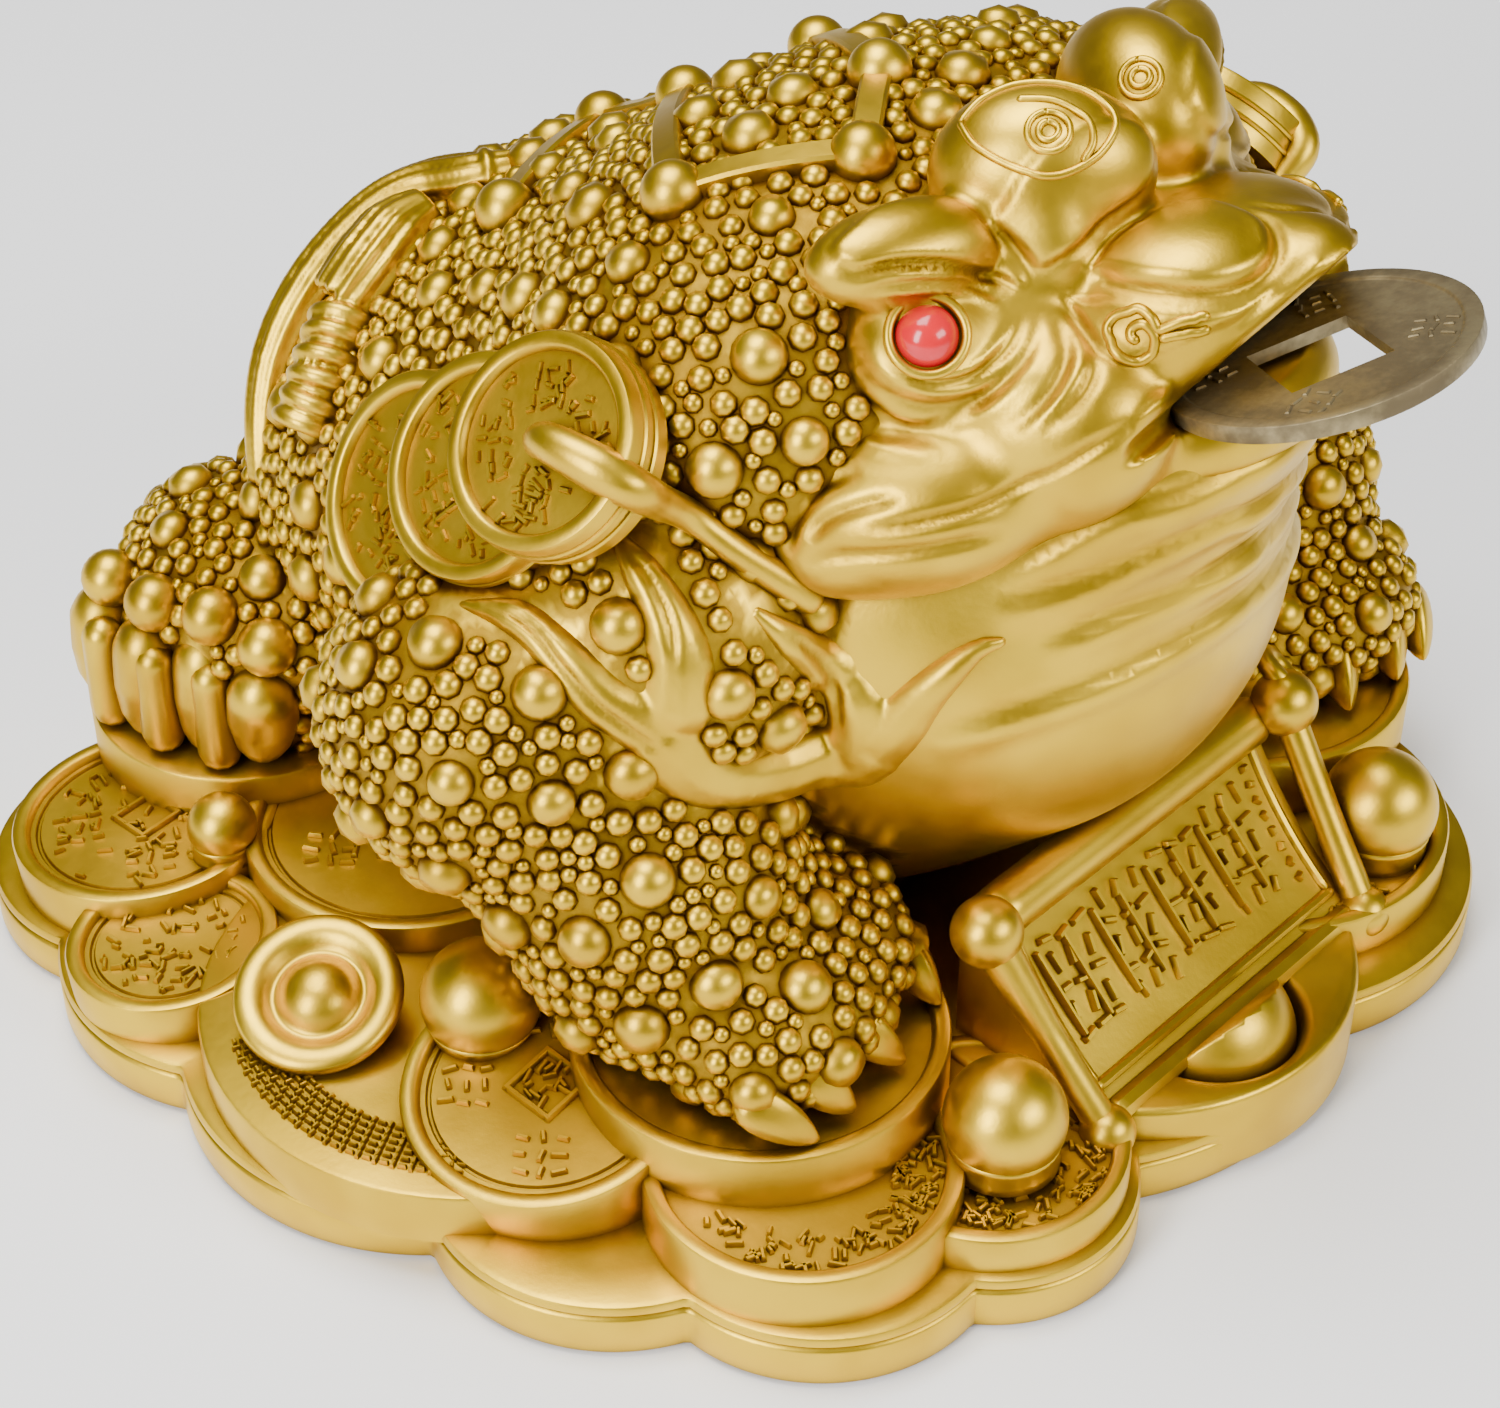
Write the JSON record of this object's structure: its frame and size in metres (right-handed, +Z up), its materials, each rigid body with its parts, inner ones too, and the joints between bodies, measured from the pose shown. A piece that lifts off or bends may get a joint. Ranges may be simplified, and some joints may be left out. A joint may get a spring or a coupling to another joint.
{
  "type": "money toad figure",
  "caption": "Warty toad crouching on a bed of coins, ingots and balls, gold finished, with bead eyes and a loose square-holed coin resting in its open mouth.",
  "frame": {"origin": "centre of the underside of the coin bed, on the surface it stands on", "axes": "+Z up, the toad faces -Y, its right side is -X"},
  "size_m": [0.1298, 0.1105, 0.0864],
  "materials": {
    "gold_casting": "cast resin, satin metallic gold paint with an amber brown wash in the recesses",
    "aged_brass": "worn grey brown patina",
    "red_bead": "glossy"
  },
  "bodies": {
    "root": {"toad_and_coin_bed": "gold_casting", "mouth_coin": "aged_brass", "right_eye_bead": "red_bead", "left_eye_bead": "red_bead"}
  },
  "joints": []
}
